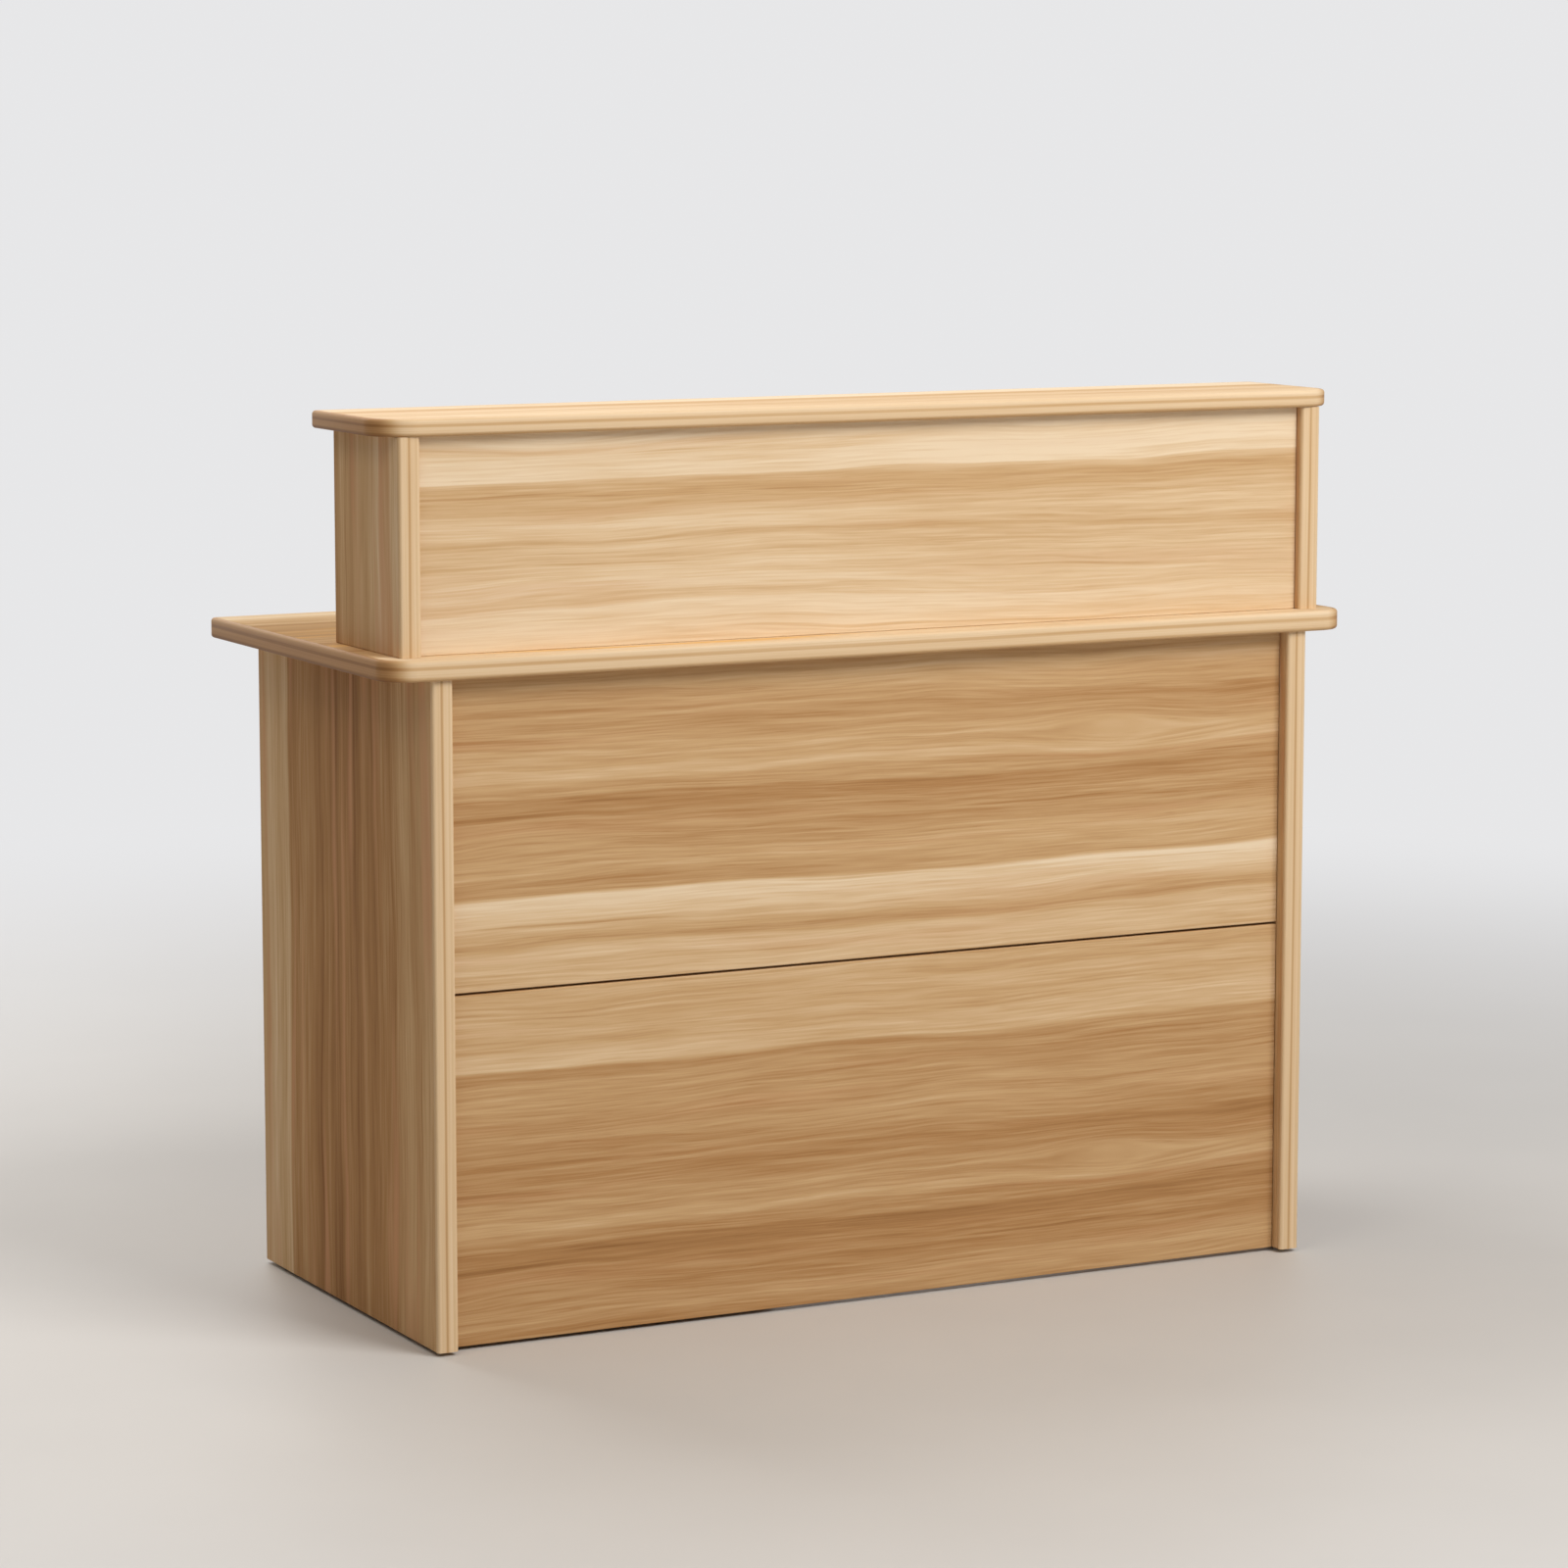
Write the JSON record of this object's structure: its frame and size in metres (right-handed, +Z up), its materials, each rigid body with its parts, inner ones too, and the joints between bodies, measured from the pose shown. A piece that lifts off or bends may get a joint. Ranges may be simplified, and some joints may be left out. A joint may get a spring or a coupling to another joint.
{
  "type": "reception desk",
  "caption": "Stepped reception desk in pale wood-grain laminate: closed front, raised counter over the desk top, and a staff side with locking drawer, cupboard and keyboard tray.",
  "frame": {"origin": "on the floor, under the middle of the desk top", "axes": "+X to the customer's right along the desk, +Y from the customer's front to the staff side, +Z up"},
  "size_m": [1.2, 0.52, 1.005],
  "materials": {
    "laminate_along": "satin wood-grain laminate, grain along the board",
    "laminate_upright": "satin wood-grain laminate, grain upright",
    "lipping": "satin wood-coloured edge lipping",
    "hardboard": "thin printed hardboard",
    "black_plastic": "black nylon",
    "zinc_steel": "bright zinc plate",
    "satin_nickel": "satin nickel plate",
    "white_plastic": "white moulded plastic"
  },
  "bodies": {
    "carcass": {"desk_top": "laminate_along", "counter_top": "laminate_along", "upper_front_panel": "laminate_along", "lower_front_panel": "laminate_along", "hutch_front_panel": "laminate_along", "seam_batten": "laminate_along", "cupboard_floor": "laminate_along", "drawer_divider": "laminate_along", "cupboard_shelf": "laminate_along", "cupboard_plinth": "laminate_along", "left_side_panel": "laminate_upright", "right_side_panel": "laminate_upright", "partition_panel": "laminate_upright", "hutch_left_side_panel": "laminate_upright", "hutch_right_side_panel": "laminate_upright", "desk_top_lipping": "lipping", "counter_top_lipping": "lipping", "left_side_lipping": "lipping", "right_side_lipping": "lipping", "hutch_left_side_lipping": "lipping", "hutch_right_side_lipping": "lipping", "glide_left_front": "black_plastic", "glide_left_rear": "black_plastic", "glide_right_front": "black_plastic", "glide_right_rear": "black_plastic", "glide_partition": "black_plastic", "shelf_pin_left_front": "zinc_steel", "shelf_pin_left_rear": "zinc_steel", "shelf_pin_right_front": "zinc_steel", "shelf_pin_right_rear": "zinc_steel", "lock_strike": "zinc_steel", "hinge_lower_frame_leaf": "zinc_steel", "hinge_upper_frame_leaf": "zinc_steel", "drawer_runner_left_fixed": "zinc_steel", "drawer_runner_right_fixed": "zinc_steel", "tray_runner_left_fixed": "zinc_steel", "tray_runner_right_fixed": "zinc_steel", "catch_body": "white_plastic"},
    "drawer": {"drawer_front": "laminate_along", "drawer_left_side": "laminate_along", "drawer_right_side": "laminate_along", "drawer_back": "laminate_along", "drawer_bottom": "hardboard", "drawer_handle": "satin_nickel", "lock_barrel": "satin_nickel", "drawer_runner_left_sliding": "zinc_steel", "drawer_runner_right_sliding": "zinc_steel"},
    "drawer_runner_middles": {"drawer_runner_left_middle": "zinc_steel", "drawer_runner_right_middle": "zinc_steel"},
    "drawer_lock": {"lock_plug": "satin_nickel", "lock_cam": "zinc_steel"},
    "keyboard_tray": {"keyboard_tray": "laminate_along", "keyboard_tray_fascia": "laminate_along", "tray_runner_left_sliding": "zinc_steel", "tray_runner_right_sliding": "zinc_steel"},
    "cupboard_door": {"cupboard_door": "laminate_upright", "door_handle": "satin_nickel", "hinge_lower_door_leaf": "zinc_steel", "hinge_upper_door_leaf": "zinc_steel", "catch_plate": "zinc_steel"}
  },
  "joints": [
    {"name": "drawer_slide", "type": "slide", "parent": "carcass", "child": "drawer", "axis": [0, 1, 0], "range_m": [0, 0.4]},
    {"name": "drawer_runner_slide", "type": "slide", "parent": "carcass", "child": "drawer_runner_middles", "axis": [0, 1, 0], "range_m": [0, 0.2]},
    {"name": "lock_turn", "type": "hinge", "parent": "drawer", "child": "drawer_lock", "pos_m": [-0.332, 0.213, 0.701], "axis": [0, -1, 0], "range_deg": [0, 90]},
    {"name": "keyboard_tray_slide", "type": "slide", "parent": "carcass", "child": "keyboard_tray", "axis": [0, 1, 0], "range_m": [0, 0.26]},
    {"name": "door_swing", "type": "hinge", "parent": "carcass", "child": "cupboard_door", "pos_m": [-0.5185, 0.2325, 0.325], "axis": [0, 0, 1], "range_deg": [0, 100]}
  ],
  "couplings": [
    {"joint": "drawer_runner_slide", "follows": "drawer_slide", "ratio": 0.5}
  ]
}
